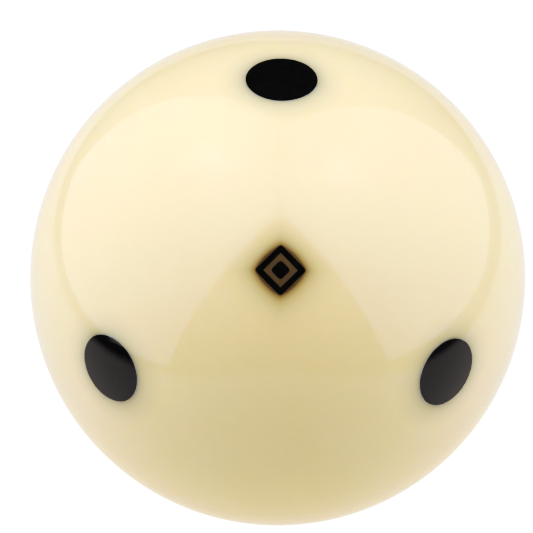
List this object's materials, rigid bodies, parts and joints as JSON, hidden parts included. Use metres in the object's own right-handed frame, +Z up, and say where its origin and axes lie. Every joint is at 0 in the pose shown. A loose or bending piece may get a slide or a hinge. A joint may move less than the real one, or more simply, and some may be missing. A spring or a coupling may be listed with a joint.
{
  "type": "cue ball",
  "caption": "Cream cast-resin billiard cue ball with black round spots let into its surface and a small inlaid diamond mark; it is struck by the cue and rolls freely on the cloth.",
  "frame": {"origin": "centre of the ball", "axes": "+Z up, -Y to the front and +X to the right; the inlaid mark faces along (1, -1, 1), and the top, front and right spots each lean 2.4 degrees from their axis towards it"},
  "size_m": [0.0572, 0.0572, 0.0572],
  "materials": {
    "cream_resin": "polished",
    "black_resin": "polished"
  },
  "bodies": {
    "root": {"ball_body": "cream_resin", "spot_top": "black_resin", "spot_bottom": "black_resin", "spot_front": "black_resin", "spot_back": "black_resin", "spot_left": "black_resin", "spot_right": "black_resin", "mark_frame": "black_resin", "mark_diamond": "black_resin"}
  },
  "joints": []
}
